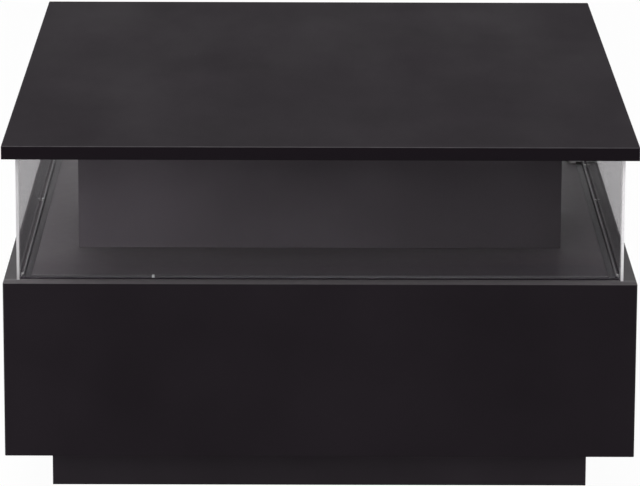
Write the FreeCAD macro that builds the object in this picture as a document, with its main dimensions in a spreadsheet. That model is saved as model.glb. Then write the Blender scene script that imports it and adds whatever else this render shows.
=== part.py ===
import FreeCAD, Part
import math
import os
import re
import Sketcher

# Collectors display table: a low black table with a clear-walled display gallery.
# Frame: origin at the centre of the footprint on the floor, +X to the right,
# -Y towards the front, +Z up. All sizes are in millimetres.

doc = FreeCAD.newDocument("collectors_display_table")
sheet = doc.addObject("Spreadsheet::Sheet", "Sizes")

DRIVING_SIZES = [
    ("table_width", "700", "left to right"),
    ("table_depth", "900", "front to rear"),
    ("top_thickness", "15", "table top board"),
    ("board", "15", "carcass boards"),
    ("gallery_height", "140", "clear height between display floor and top"),
    ("storage_height", "165", "clear height of the drawer space"),
    ("plinth_height", "50", "toe recess under the box"),
    ("plinth_inset", "50", "plinth set back from the box on every side"),
    ("panel_drop", "2", "panels reach this far below the bottom board"),
    ("top_arris", "1", "rounding of the table top's upper and upright edges"),
    ("panel_arris", "2", "rounding of the panels' upright outer edges"),
    ("pedestal_side_inset", "75", "pedestal from the table's left and right"),
    ("pedestal_end_inset", "175", "pedestal from the table's front and rear"),
    ("pane", "3", "acrylic sheet"),
    ("pane_side_inset", "14.5", "side panes' outer face from the table's side"),
    ("pane_end_inset", "18.5", "side panes' ends from the table's front and rear"),
    ("cross_pane_inset", "26", "front and rear panes' outer face from the table's end"),
    ("pane_play", "0.2", "room on each side of a pane in its groove"),
    ("pane_seat", "3", "depth of the grooves in the display floor"),
    ("pane_entry", "4", "how far the panes reach into the top"),
    ("pane_lift", "5", "room above a loose pane so that it lifts out"),
    ("head_room", "0.5", "room above a fixed pane"),
    ("strip_width", "10", "light strip"),
    ("strip_height", "2", "light strip"),
    ("strip_gap", "2", "light strip from the pane"),
    ("clip_wall", "1", "plastic of a strip clip"),
    ("clip_hook", "1.8", "how far a clip's hook reaches over the strip"),
    ("clip_length", "3", "strip clip along the strip"),
    ("clip_play", "0.2", "room between strip and clip"),
    ("clip_start", "38", "first clip from the table's end"),
    ("clip_pitch", "376", "distance between clips along a side"),
    ("cross_clip_offset", "185", "clip on the front and rear strips from the middle"),
    ("joint_start", "182", "the light lead's joint behind the table's middle"),
    ("joint_length", "18", "joint along the right light strip"),
    ("joint_width", "20", "joint across the strip"),
    ("joint_height", "4", "joint"),
    ("joint_corner", "4", "rounding of the joint's inner corners in plan"),
    ("joint_clip", "22", "clip in front of the joint"),
    ("joint_entry", "5", "lead's entry from the joint's inner side"),
    ("joint_bore", "3", "lead's entry in the joint's underside"),
    ("joint_hole", "6", "hole under the joint in the display floor"),
    ("finger_gap", "20", "hand room behind a drawer front's lower edge"),
    ("reveal", "2", "gap around a drawer front"),
    ("front_arris", "1", "rounding of a drawer front"),
    ("grip_height", "14", "finger groove in a drawer front"),
    ("grip_depth", "5", "finger groove in a drawer front"),
    ("grip_rise", "8", "finger groove above the lower edge"),
    ("drawer_board", "12", "drawer sides and back"),
    ("drawer_base", "5", "drawer bottom sheet"),
    ("drawer_height", "120", "drawer sides"),
    ("drawer_rise", "10", "drawer sides above the bottom board"),
    ("drawer_groove", "4", "depth of the drawer bottom's groove"),
    ("drawer_groove_rise", "10", "drawer bottom above the sides' lower edge"),
    ("drawer_groove_play", "0.2", "room around the drawer bottom in its groove"),
    ("drawer_back_gap", "10", "drawer from the centre partition"),
    ("runner_back_room", "15.5", "runner's rear end from the drawer's rear end"),
    ("runner_height", "45", "runner's cabinet member"),
    ("runner_width", "12.7", "closed runner, wall to drawer"),
    ("runner_play", "0.3", "room between runner and drawer side"),
    ("runner_steel", "1.2", "runner members' steel"),
    ("runner_setback", "2", "runner behind the drawer front"),
    ("race_lip", "1.3", "lip that keeps the balls in"),
    ("bend", "0.8", "rounding of the members' outer bends"),
    ("cabinet_flange", "8.4", "cabinet member's flange"),
    ("middle_offset", "2", "middle member's web from the wall"),
    ("middle_flange", "8.6", "middle member's flange"),
    ("drawer_flange", "8.1", "drawer member's flange"),
    ("ball", "3.5", "bearing ball's diameter"),
    ("ball_play", "0.05", "room on each side of a ball"),
    ("cage_steel", "0.5", "ball cage's strip"),
    ("cage_length", "110", "ball cage"),
    ("cage_play", "0.15", "room between a cage's web and its member"),
    ("cage_flange", "6.8", "ball cage's flange"),
    ("runner_hole", "4.5", "fixing hole in a runner member"),
    ("hole_inset", "26", "fixing holes from the runner's ends"),
    ("tongue", "4", "plywood tongue's thickness"),
    ("tongue_entry", "7", "tongue's part inside each board"),
    ("tongue_play", "0.1", "room around a tongue"),
    ("long_stop", "60", "tongues of the boards' long joints from the ends"),
    ("pedestal_stop", "15", "pedestal's upright tongues from the ends"),
    ("plinth_stop", "10", "plinth's upright tongues from the ends"),
    ("drawer_stop", "20", "drawer's upright tongues from the sides' ends"),
    ("batten", "20", "section of the pedestal's battens and the plinth's blocks"),
    ("batten_stop", "60", "battens from the pedestal's corners"),
    ("block_length", "80", "plinth's glue block"),
    ("block_inset", "150", "plinth's glue blocks from its ends"),
    ("lead_hole", "18", "hole for the lights' lead in the rear panel"),
    ("lead_offset", "60", "rear lead hole to the right of the middle"),
    ("lead_drop", "16", "rear lead hole below the display floor"),
    ("grommet_bore", "10", "rubber grommet"),
    ("grommet_flange", "24", "rubber grommet"),
    ("grommet_lip", "2", "rubber grommet's flange"),
    ("grommet_play", "0.1", "room around a grommet's sleeve"),
]

for row, (alias, value, meaning) in enumerate(DRIVING_SIZES, start=1):
    sheet.set("A%d" % row, alias)
    sheet.set("B%d" % row, value)
    sheet.set("C%d" % row, meaning)
    sheet.setAlias("B%d" % row, alias)
doc.recompute()

# Heights of the boards' faces
STORAGE_BASE = "(plinth_height + board)"
FLOOR_UNDER = "(plinth_height + board + storage_height)"
FLOOR_FACE = "(plinth_height + 2 * board + storage_height)"
TOP_UNDER = "(plinth_height + 2 * board + storage_height + gallery_height)"

# Plan distances from the table's centre
HALF_WIDTH = "(table_width / 2)"
HALF_DEPTH = "(table_depth / 2)"
PANEL_INSIDE = "(table_depth / 2 - board)"
BOTTOM_HALF = "(table_width / 2 - board - finger_gap)"
PEDESTAL_HALF_WIDTH = "(table_width / 2 - pedestal_side_inset)"
PEDESTAL_HALF_DEPTH = "(table_depth / 2 - pedestal_end_inset)"
PLINTH_HALF_WIDTH = "(table_width / 2 - plinth_inset)"
PLINTH_HALF_DEPTH = "(table_depth / 2 - plinth_inset)"

# The loose front and rear panes stand between the side panes
CROSS_PANE_HALF = "(table_width / 2 - pane_side_inset - pane - pane_play)"
SIDE_PANE_HALF = "(table_depth / 2 - pane_end_inset)"
PANE_HEIGHT = "(gallery_height + pane_seat + pane_entry)"

# Drawers are drawn as the left one, which slides out to the left
DRAWER_INSIDE_X = "(table_width / 2 - board)"
DRAWER_LENGTH = "(table_width / 2 - 3 * board / 2 - drawer_back_gap)"
DRAWER_HALF = "(table_depth / 2 - board - runner_width - runner_play)"
DRAWER_LEVEL = "(plinth_height + board + drawer_rise)"
SHEET_LEVEL = "(%s + drawer_groove_rise)" % DRAWER_LEVEL
FRONT_BASE = "(plinth_height - panel_drop)"
RUNNER_START = "(table_width / 2 - board - runner_setback)"
RUNNER_LENGTH = "(%s - runner_setback - runner_back_room)" % DRAWER_LENGTH
RUNNER_LEVEL = "(%s + drawer_height / 2)" % DRAWER_LEVEL

# Ball rows in a runner: distance from the wall, and height from its middle
MIDDLE_HALF = "(runner_height / 2 - runner_steel - ball - 2 * ball_play)"
DRAWER_MEMBER_HALF = "(%s - runner_steel - ball - 2 * ball_play)" % MIDDLE_HALF
OUTER_ROW = ("(cabinet_flange - runner_steel - ball / 2 - ball_play)",
             "(runner_height / 2 - runner_steel - ball / 2 - ball_play)")
INNER_ROW = ("(runner_width - drawer_flange + runner_steel + ball / 2 + ball_play)",
             "(%s - runner_steel - ball / 2 - ball_play)" % MIDDLE_HALF)

BALLS_PER_ROW = 4
BALL_SIDES = 8
CLIPS_PER_SIDE = 3

UPRIGHT = FreeCAD.Rotation()
HALF_TURN_X = FreeCAD.Rotation(FreeCAD.Vector(1, 0, 0), 180)
HALF_TURN_Y = FreeCAD.Rotation(FreeCAD.Vector(0, 1, 0), 180)
HALF_TURN_Z = FreeCAD.Rotation(FreeCAD.Vector(0, 0, 1), 180)
QUARTER_TURN_Z = FreeCAD.Rotation(FreeCAD.Vector(0, 0, 1), 90)
POINT_FRONT = FreeCAD.Rotation(FreeCAD.Vector(1, 0, 0), 90)

# Turns that carry a tongue's length, width and thickness to other axes
ALONG_Y = FreeCAD.Rotation(FreeCAD.Vector(1, 1, 1), 120)
UPRIGHT_ACROSS_X = FreeCAD.Rotation(FreeCAD.Vector(1, 1, 1), 240)
UPRIGHT_ACROSS_Y = FreeCAD.Rotation(FreeCAD.Vector(0, 1, 0), -90)

nodes = []
board_sizes = {}


def bound(formula):
    """The spreadsheet expression for a formula written with bare alias names."""
    return re.sub(r"[a-z][a-z_]*", r"Sizes.\g<0>", formula)


def minus(formula):
    return "-(" + formula + ")"


def place(thing, position, turn=UPRIGHT):
    """Turn a thing and hold its position with one formula per axis."""
    thing.Placement = FreeCAD.Placement(FreeCAD.Vector(), turn)
    for axis, formula in zip("xyz", position):
        thing.setExpression("Placement.Base." + axis, bound(formula))


def new_body(name, position, turn=UPRIGHT, node=True):
    body = doc.addObject("PartDesign::Body", name)
    body.Label = name
    place(body, position, turn)
    if node:
        nodes.append(body)
    return body


def new_sketch(body, plane_role, offset="0"):
    plane = next(f for f in body.Origin.OriginFeatures if f.Role == plane_role)
    sketch = body.newObject("Sketcher::SketchObject", body.Name + "_sketch")
    sketch.AttachmentSupport = (plane, [""])
    sketch.MapMode = "FlatFace"
    sketch.setExpression("AttachmentOffset.Base.z", bound(offset))
    return sketch


def hold(sketch, kind, geometry, point, formula):
    """Hold a point's distance from the sketch's origin along one axis."""
    if formula == "0":
        axis = -2 if kind == "DistanceX" else -1
        sketch.addConstraint(Sketcher.Constraint("PointOnObject", geometry, point, axis))
        return
    constraint = Sketcher.Constraint(kind, -1, 1, geometry, point, 1.0)
    index = sketch.addConstraint(constraint)
    sketch.setExpression("Constraints[%d]" % index, bound(formula))


def add_rectangle(sketch, x, y, width, height):
    corners = [FreeCAD.Vector(*xy, 0) for xy in ((1, 1), (3, 1), (3, 2), (1, 2))]
    first = sketch.GeometryCount
    for i in range(4):
        sketch.addGeometry(Part.LineSegment(corners[i], corners[(i + 1) % 4]), False)
    for i in range(4):
        following = first + (i + 1) % 4
        sketch.addConstraint(Sketcher.Constraint("Coincident", first + i, 2, following, 1))
        direction = "Horizontal" if i % 2 == 0 else "Vertical"
        sketch.addConstraint(Sketcher.Constraint(direction, first + i))
    hold(sketch, "DistanceX", first, 1, x)
    hold(sketch, "DistanceY", first, 1, y)
    for kind, line, size in (("DistanceX", first, width), ("DistanceY", first + 1, height)):
        index = sketch.addConstraint(Sketcher.Constraint(kind, line, 1, line, 2, 1.0))
        sketch.setExpression("Constraints[%d]" % index, bound(size))


def add_outline(sketch, points):
    """A closed straight-sided outline whose corners are given as pairs of formulas."""
    first = sketch.GeometryCount
    count = len(points)
    start = [FreeCAD.Vector(i + 1, (i * i) % 5 + 1, 0) for i in range(count)]
    for i in range(count):
        sketch.addGeometry(Part.LineSegment(start[i], start[(i + 1) % count]), False)
    for i, (x, y) in enumerate(points):
        following = first + (i + 1) % count
        sketch.addConstraint(Sketcher.Constraint("Coincident", first + i, 2, following, 1))
        hold(sketch, "DistanceX", first + i, 1, x)
        hold(sketch, "DistanceY", first + i, 1, y)


def add_circle(sketch, x, y, diameter):
    circle = Part.Circle(FreeCAD.Vector(1, 1, 0), FreeCAD.Vector(0, 0, 1), 1)
    first = sketch.addGeometry(circle, False)
    hold(sketch, "DistanceX", first, 3, x)
    hold(sketch, "DistanceY", first, 3, y)
    index = sketch.addConstraint(Sketcher.Constraint("Diameter", first, 2.0))
    sketch.setExpression("Constraints[%d]" % index, bound(diameter))


def add_polygon(sketch, width, sides):
    """A regular outline round the sketch's origin, as wide across its flats as stated."""
    points = []
    for side in range(sides):
        angle = math.radians((side + 0.5) * 360 / sides)
        reach = 0.5 / math.cos(math.pi / sides)
        points.append(("%s * %.6f" % (width, reach * math.cos(angle)),
                       "%s * %.6f" % (width, reach * math.sin(angle))))
    add_outline(sketch, points)


def pad(body, sketch, length, midplane=False):
    feature = body.newObject("PartDesign::Pad", body.Name + "_pad")
    feature.Profile = sketch
    feature.SideType = "Symmetric" if midplane else "One side"
    feature.setExpression("Length", bound(length))
    sketch.Visibility = False
    return feature


def face_sketch(body, side):
    """A sketch on one face of a board, and whether a cut into the board is reversed."""
    width, depth, height = board_sizes[body.Name]
    plane_role, offset, reverse = {
        "top": ("XY_Plane", height, False),
        "under": ("XY_Plane", "0", True),
        "front": ("XZ_Plane", "0", False),
        "rear": ("XZ_Plane", minus(depth), True),
        "left": ("YZ_Plane", "0", True),
        "right": ("YZ_Plane", width, False),
    }[side]
    return new_sketch(body, plane_role, offset), reverse


def pocket(body, sketch, depth, reverse):
    feature = body.newObject("PartDesign::Pocket", body.Name + "_pocket")
    feature.Profile = sketch
    feature.Reversed = reverse
    feature.setExpression("Length", bound(depth))
    sketch.Visibility = False
    return feature


def board(name, position, size, turn=UPRIGHT, node=True):
    """A flat board whose own origin is its lower left front corner."""
    body = new_body(name, position, turn, node)
    board_sizes[name] = size
    sketch = new_sketch(body, "XY_Plane")
    add_rectangle(sketch, "0", "0", size[0], size[1])
    pad(body, sketch, size[2])
    return body


def cut_grooves(body, side, grooves, depth):
    sketch, reverse = face_sketch(body, side)
    for groove in grooves:
        add_rectangle(sketch, *groove)
    return pocket(body, sketch, depth, reverse)


def drill(body, side, centres, diameter, depth):
    sketch, reverse = face_sketch(body, side)
    for x, y in centres:
        add_circle(sketch, x, y, diameter)
    return pocket(body, sketch, depth, reverse)


def round_edges(body, radius, wanted):
    """Round the edges of a body's last feature that a test picks."""
    doc.recompute()
    last = body.Tip
    names = ["Edge%d" % (i + 1) for i, edge in enumerate(last.Shape.Edges) if wanted(edge)]
    feature = body.newObject("PartDesign::Fillet", body.Name + "_fillet")
    feature.Base = (last, names)
    feature.setExpression("Radius", bound(radius))
    return feature


def group(name, copies):
    """One node that holds several copies of a master piece, each at its own place."""
    links = []
    for number, (master, position, turn) in enumerate(copies):
        link = doc.addObject("App::Link", "%s_%d" % (name, number + 1))
        link.LinkedObject = master
        link.LinkTransform = False
        place(link, position, turn)
        links.append(link)
    compound = doc.addObject("Part::Compound", name)
    compound.Label = name
    compound.Links = links
    nodes.append(compound)
    return compound


def carry(position, turn, offset):
    """The formulas of a point that lies at an offset in a turned frame."""
    units = [FreeCAD.Vector(1, 0, 0), FreeCAD.Vector(0, 1, 0), FreeCAD.Vector(0, 0, 1)]
    turned = [turn.multVec(unit) for unit in units]
    carried = []
    for axis in range(3):
        formula = position[axis]
        for part, direction in zip(offset, turned):
            sign = round(direction[axis])
            if sign and part != "0":
                formula += " + (%s)" % (part if sign > 0 else minus(part))
        carried.append(formula)
    return tuple(carried)


def spread(half, inset):
    """Two places, mirrored about the middle, at an inset from the ends."""
    return [minus("%s - %s" % (half, inset)), "(%s - %s)" % (half, inset)]


def shifted(formula, origin):
    """A place measured from a board's own corner instead of the table's centre."""
    return "(%s) + (%s)" % (formula, origin)


# Plywood tongues, glued into a mortise in each of two boards

MORTISE = "(tongue + 2 * tongue_play)"
MORTISE_DEPTH = "tongue_entry + tongue_play"
FLOOR_TONGUE = "(2 * %s - 2 * long_stop)" % HALF_WIDTH
BOTTOM_TONGUE = "(2 * %s - 2 * long_stop)" % BOTTOM_HALF
PARTITION_TONGUE = "(2 * %s - 2 * long_stop)" % PANEL_INSIDE
PEDESTAL_TONGUE = "(gallery_height - 2 * pedestal_stop)"
PLINTH_TONGUE = "(plinth_height - 2 * plinth_stop)"
DRAWER_TONGUE = "(drawer_height - 2 * drawer_stop)"


def make_tongue(name, length):
    """A tongue centred on the joint: length along X, width along Y."""
    body = new_body(name, ("0", "0", "0"), node=False)
    sketch = new_sketch(body, "XY_Plane")
    add_rectangle(sketch, minus(length + " / 2"), "-tongue_entry", length, "2 * tongue_entry")
    pad(body, sketch, "tongue", midplane=True)
    return body


def mortise(x, y, length):
    """A mortise's outline round a centre, lying along the board's first axis."""
    return ("%s - %s / 2 - tongue_play" % (x, length), "%s - %s / 2" % (y, MORTISE),
            length + " + 2 * tongue_play", MORTISE)


def upright_mortise(x, y, length):
    """The same outline, standing along the board's second axis."""
    start, side, along, across = mortise(y, x, length)
    return (side, start, across, along)


# Carcass

PANEL_BASE = "(plinth_height - panel_drop)"
LEVELS = ((FLOOR_UNDER, HALF_WIDTH, FLOOR_TONGUE), ("plinth_height", BOTTOM_HALF, BOTTOM_TONGUE))


def make_panel(name, y, inner_side):
    """The front or rear panel: plain outside, mortised inside."""
    height = "(%s - %s)" % (FLOOR_FACE, PANEL_BASE)
    body = board(name, (minus(HALF_WIDTH), y, PANEL_BASE), ("table_width", "board", height))
    outer_y = 0.0 if inner_side == "rear" else sheet.board
    round_edges(body, "panel_arris", lambda edge: (
        abs(edge.CenterOfMass.y - outer_y) < 1e-4
        and abs(edge.tangentAt(edge.FirstParameter).z) > 0.9))
    for level, _, length in LEVELS:
        middle = "%s + board / 2 - %s" % (level, PANEL_BASE)
        cut_grooves(body, inner_side, [mortise(HALF_WIDTH, middle, length)], MORTISE_DEPTH)
    if name == "rear_panel":
        drill(body, inner_side, [(shifted("lead_offset", HALF_WIDTH),
                                  "%s - lead_drop - %s" % (FLOOR_UNDER, PANEL_BASE))],
              "lead_hole", "board")
    return body


def make_level_board(name, level, half, length, partition_side):
    """The display floor or the bottom board, between the front and rear panels."""
    body = board(name, (minus(half), minus(PANEL_INSIDE), level),
                 ("2 * " + half, "2 * " + PANEL_INSIDE, "board"))
    for side in ("front", "rear"):
        cut_grooves(body, side, [mortise(half, "board / 2", length)], MORTISE_DEPTH)
    cut_grooves(body, partition_side, [upright_mortise(half, PANEL_INSIDE, PARTITION_TONGUE)],
                MORTISE_DEPTH)
    return body


def pane_grooves(body, side, board_end, side_depth, cross_depth):
    """Grooves for the side panes and for the front and rear panes in one board."""
    play = "2 * pane_play"
    width = "pane + " + play
    side_length = "2 * %s + %s" % (SIDE_PANE_HALF, play)
    side_start = "pane_end_inset - %s - pane_play" % board_end
    cut_grooves(body, side, [
        ("pane_side_inset - pane_play", side_start, width, side_length),
        ("table_width - pane_side_inset - pane - pane_play", side_start, width, side_length),
    ], side_depth)
    cross_start = "%s - %s - pane_play" % (HALF_WIDTH, CROSS_PANE_HALF)
    cross_length = "2 * %s + %s" % (CROSS_PANE_HALF, play)
    far = "table_depth - cross_pane_inset - pane - %s - pane_play" % board_end
    cut_grooves(body, side, [
        (cross_start, "cross_pane_inset - %s - pane_play" % board_end, cross_length, width),
        (cross_start, far, cross_length, width),
    ], cross_depth)


def make_top():
    body = board("top_panel", (minus(HALF_WIDTH), minus(HALF_DEPTH), TOP_UNDER),
                 ("table_width", "table_depth", "top_thickness"))
    round_edges(body, "top_arris", lambda edge: edge.CenterOfMass.z > 1e-4)
    pane_grooves(body, "under", "0", "pane_entry + head_room", "pane_entry + pane_lift")
    return body


def make_display_floor():
    body = make_level_board("display_floor", *LEVELS[0], "under")
    pane_grooves(body, "top", "board", "pane_seat", "pane_seat")
    drill(body, "top", [(shifted(JOINT_LEAD_X, HALF_WIDTH),
                         shifted(JOINT_LEAD_Y, PANEL_INSIDE))], "joint_hole", "board")
    return body


def make_partition():
    body = board("centre_partition", ("-board / 2", minus(PANEL_INSIDE), STORAGE_BASE),
                 ("board", "2 * " + PANEL_INSIDE, "storage_height"))
    for side in ("top", "under"):
        cut_grooves(body, side, [upright_mortise("board / 2", PANEL_INSIDE, PARTITION_TONGUE)],
                    MORTISE_DEPTH)
    return body


def make_pedestal():
    """Four boards round a hollow core carry the table top."""
    half_width, half_depth = PEDESTAL_HALF_WIDTH, PEDESTAL_HALF_DEPTH
    middle = "gallery_height / 2"
    long_size = ("2 * " + half_width, "board", "gallery_height")
    short_size = ("board", "2 * %s - 2 * board" % half_depth, "gallery_height")
    for name, y, inner_side in (("pedestal_front", minus(half_depth), "rear"),
                                ("pedestal_rear", half_depth + " - board", "front")):
        body = board(name, (minus(half_width), y, FLOOR_FACE), long_size)
        cut_grooves(body, inner_side, [
            upright_mortise(x, middle, PEDESTAL_TONGUE)
            for x in ("board / 2", "2 * %s - board / 2" % half_width)
        ], MORTISE_DEPTH)
    for name, x in (("pedestal_left", minus(half_width)),
                    ("pedestal_right", half_width + " - board")):
        body = board(name, (x, minus(half_depth) + " + board", FLOOR_FACE), short_size)
        for side in ("front", "rear"):
            cut_grooves(body, side, [upright_mortise("board / 2", middle, PEDESTAL_TONGUE)],
                        MORTISE_DEPTH)


def make_plinth():
    """The side boards run the full length, the others stand between them."""
    half_width, half_depth = PLINTH_HALF_WIDTH, PLINTH_HALF_DEPTH
    middle = "plinth_height / 2"
    side_size = ("board", "2 * " + half_depth, "plinth_height")
    for name, x, inner_side in (("plinth_left", minus(half_width), "right"),
                                ("plinth_right", half_width + " - board", "left")):
        body = board(name, (x, minus(half_depth), "0"), side_size)
        cut_grooves(body, inner_side, [
            upright_mortise(y, middle, PLINTH_TONGUE)
            for y in ("board / 2", "2 * %s - board / 2" % half_depth)
        ], MORTISE_DEPTH)
    end_size = ("2 * %s - 2 * board" % half_width, "board", "plinth_height")
    for name, y in (("plinth_front", minus(half_depth)),
                    ("plinth_rear", half_depth + " - board")):
        body = board(name, (minus(half_width) + " + board", y, "0"), end_size)
        for side in ("left", "right"):
            cut_grooves(body, side, [upright_mortise("board / 2", middle, PLINTH_TONGUE)],
                        MORTISE_DEPTH)
    board("plinth_brace", (minus(half_width) + " + board", "-board / 2", "0"), end_size)


def make_carcass_tongues():
    floor = make_tongue("floor_tongue_master", FLOOR_TONGUE)
    bottom = make_tongue("bottom_tongue_master", BOTTOM_TONGUE)
    partition = make_tongue("partition_tongue_master", PARTITION_TONGUE)
    ends = (minus(PANEL_INSIDE), PANEL_INSIDE)
    group("carcass_tongues", [
        *((floor, ("0", y, FLOOR_UNDER + " + board / 2"), UPRIGHT) for y in ends),
        *((bottom, ("0", y, "plinth_height + board / 2"), UPRIGHT) for y in ends),
        *((partition, ("0", "0", level), ALONG_Y) for level in (STORAGE_BASE, FLOOR_UNDER)),
    ])


def make_corner_tongues():
    """Upright tongues in the four corners of the pedestal and of the plinth."""
    upper = make_tongue("pedestal_tongue_master", PEDESTAL_TONGUE)
    lower = make_tongue("plinth_tongue_master", PLINTH_TONGUE)
    upper_level = FLOOR_FACE + " + gallery_height / 2"
    group("corner_tongues", [
        *((upper, (x, y, upper_level), UPRIGHT_ACROSS_Y)
          for x in spread(PEDESTAL_HALF_WIDTH, "board / 2")
          for y in spread(PEDESTAL_HALF_DEPTH, "board")),
        *((lower, (x, y, "plinth_height / 2"), UPRIGHT_ACROSS_X)
          for x in spread(PLINTH_HALF_WIDTH, "board")
          for y in spread(PLINTH_HALF_DEPTH, "board / 2")),
    ])


def make_batten(name, length):
    """A square batten whose two glued faces meet on its own X axis."""
    body = new_body(name, ("0", "0", "0"), node=False)
    sketch = new_sketch(body, "XY_Plane")
    add_rectangle(sketch, minus(length + " / 2"), "0", length, "batten")
    pad(body, sketch, "batten")
    return body


def make_battens():
    """Battens hold the pedestal, glue blocks hold the bottom board on the plinth."""
    across_x, across_y = spread(PEDESTAL_HALF_WIDTH, "board"), spread(PEDESTAL_HALF_DEPTH, "board")
    wide = make_batten("wide_batten_master", "(2 * %s - 2 * batten_stop)" % across_x[1])
    deep = make_batten("deep_batten_master", "(2 * %s - 2 * batten_stop)" % across_y[1])
    battens = []
    for level, flip in ((FLOOR_FACE, UPRIGHT), (TOP_UNDER, HALF_TURN_Y)):
        battens += [
            (wide, ("0", across_y[0], level), flip),
            (wide, ("0", across_y[1], level), HALF_TURN_Z * flip),
            (deep, (across_x[0], "0", level), QUARTER_TURN_Z * HALF_TURN_Z * flip),
            (deep, (across_x[1], "0", level), QUARTER_TURN_Z * flip),
        ]
    group("pedestal_battens", battens)

    block = make_batten("block_master", "block_length")
    left, right = spread(PLINTH_HALF_WIDTH, "board")
    front, rear = spread(PLINTH_HALF_DEPTH, "board")
    blocks = [
        (block, ("0", front, "plinth_height"), HALF_TURN_Y),
        (block, ("0", rear, "plinth_height"), HALF_TURN_Z * HALF_TURN_Y),
    ]
    for y in spread(PLINTH_HALF_DEPTH, "block_inset"):
        blocks += [
            (block, (left, y, "plinth_height"), QUARTER_TURN_Z * HALF_TURN_Z * HALF_TURN_Y),
            (block, (right, y, "plinth_height"), QUARTER_TURN_Z * HALF_TURN_Y),
        ]
    group("plinth_blocks", blocks)


def make_lead_grommet():
    """A rubber grommet in the rear panel's lead hole, its flange on the inside."""
    body = new_body("lead_grommet", ("lead_offset", PANEL_INSIDE, FLOOR_UNDER + " - lead_drop"),
                    POINT_FRONT)
    sketch = new_sketch(body, "XZ_Plane")
    add_outline(sketch, [
        ("grommet_bore / 2", minus("board")),
        ("lead_hole / 2 - grommet_play", minus("board")),
        ("lead_hole / 2 - grommet_play", "0"),
        ("grommet_flange / 2", "0"),
        ("grommet_flange / 2", "grommet_lip"),
        ("grommet_bore / 2", "grommet_lip"),
    ])
    feature = body.newObject("PartDesign::Revolution", "lead_grommet_revolution")
    feature.Profile = sketch
    feature.ReferenceAxis = (sketch, ["V_Axis"])
    feature.Angle = 360
    sketch.Visibility = False


def make_panes():
    level = FLOOR_FACE + " - pane_seat"
    side_size = ("pane", "2 * " + SIDE_PANE_HALF, PANE_HEIGHT)
    board("pane_left", (minus(HALF_WIDTH) + " + pane_side_inset", minus(SIDE_PANE_HALF), level),
          side_size)
    board("pane_right", (HALF_WIDTH + " - pane_side_inset - pane", minus(SIDE_PANE_HALF), level),
          side_size)
    cross_size = ("2 * " + CROSS_PANE_HALF, "pane", PANE_HEIGHT)
    board("pane_front", (minus(CROSS_PANE_HALF), minus(HALF_DEPTH) + " + cross_pane_inset", level),
          cross_size)
    board("pane_rear", (minus(CROSS_PANE_HALF), HALF_DEPTH + " - cross_pane_inset - pane", level),
          cross_size)


# The light strip lies on the display floor just inside the panes

STRIP_SIDE_X = "(table_width / 2 - pane_side_inset - pane - strip_gap)"
STRIP_CROSS_Y = "(table_depth / 2 - cross_pane_inset - pane - strip_gap)"

# The lead comes up through the display floor into a joint on the right strip
JOINT_LEAD_X = "(%s - joint_width + joint_entry)" % STRIP_SIDE_X
JOINT_LEAD_Y = "(joint_start + joint_length / 2)"


def make_strips():
    """Two long lengths at the sides and two short ones between them."""
    side = board("side_strip_master", ("0", "0", "0"),
                 ("strip_width", "2 * " + STRIP_CROSS_Y, "strip_height"), node=False)
    group("side_light_strips", [
        (side, (minus(STRIP_SIDE_X), minus(STRIP_CROSS_Y), FLOOR_FACE), UPRIGHT),
        (side, (STRIP_SIDE_X + " - strip_width", minus(STRIP_CROSS_Y), FLOOR_FACE), UPRIGHT),
    ])
    inner = "(%s - strip_width)" % STRIP_SIDE_X
    cross = board("cross_strip_master", ("0", "0", "0"),
                  ("2 * " + inner, "strip_width", "strip_height"), node=False)
    group("cross_light_strips", [
        (cross, (minus(inner), minus(STRIP_CROSS_Y), FLOOR_FACE), UPRIGHT),
        (cross, (minus(inner), STRIP_CROSS_Y + " - strip_width", FLOOR_FACE), UPRIGHT),
    ])


def make_clips():
    """Small hooks beside the pane hold the strip's outer edge down."""
    body = new_body("clip_master", ("0", "0", "0"), node=False)
    sketch = new_sketch(body, "XZ_Plane")
    post = minus("clip_play + clip_wall")
    rise = "(strip_height + clip_play)"
    add_outline(sketch, [
        (post, "0"), (minus("clip_play"), "0"), (minus("clip_play"), rise),
        ("clip_hook", rise), ("clip_hook", rise + " + clip_wall"),
        (post, rise + " + clip_wall"),
    ])
    pad(body, sketch, "clip_length", midplane=True)
    places = []
    for step in range(CLIPS_PER_SIDE):
        y = "%s + clip_start + %d * clip_pitch" % (minus(HALF_DEPTH), step)
        places.append((body, (minus(STRIP_SIDE_X), y, FLOOR_FACE), UPRIGHT))
        places.append((body, (STRIP_SIDE_X, y, FLOOR_FACE), HALF_TURN_Z))
    places.append((body, (STRIP_SIDE_X, "joint_start - joint_clip", FLOOR_FACE), HALF_TURN_Z))
    places.append((body, ("-cross_clip_offset", minus(STRIP_CROSS_Y), FLOOR_FACE),
                   QUARTER_TURN_Z))
    places.append((body, ("cross_clip_offset", STRIP_CROSS_Y, FLOOR_FACE),
                   QUARTER_TURN_Z * HALF_TURN_Z))
    group("strip_clips", places)


def make_strip_joint():
    """A block over the right strip that takes the lead up from the display floor."""
    body = new_body("strip_joint", (STRIP_SIDE_X, "joint_start + joint_length", FLOOR_FACE))
    sketch = new_sketch(body, "XZ_Plane")
    shoulder = minus("strip_width + clip_play")
    step = "strip_height + clip_play"
    add_outline(sketch, [
        (minus("joint_width"), "0"), (shoulder, "0"), (shoulder, step), ("0", step),
        ("0", "joint_height"), (minus("joint_width"), "joint_height"),
    ])
    pad(body, sketch, "joint_length")
    inner_x = -sheet.joint_width
    round_edges(body, "joint_corner", lambda edge: (
        abs(edge.CenterOfMass.x - inner_x) < 1e-4
        and abs(edge.tangentAt(edge.FirstParameter).z) > 0.9))
    bore = new_sketch(body, "XY_Plane")
    add_circle(bore, "joint_entry - joint_width", minus("joint_length / 2"), "joint_bore")
    pocket(body, bore, "joint_height / 2", True)


# Ball bearing runners: three nested channels with two ball cages between them


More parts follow.
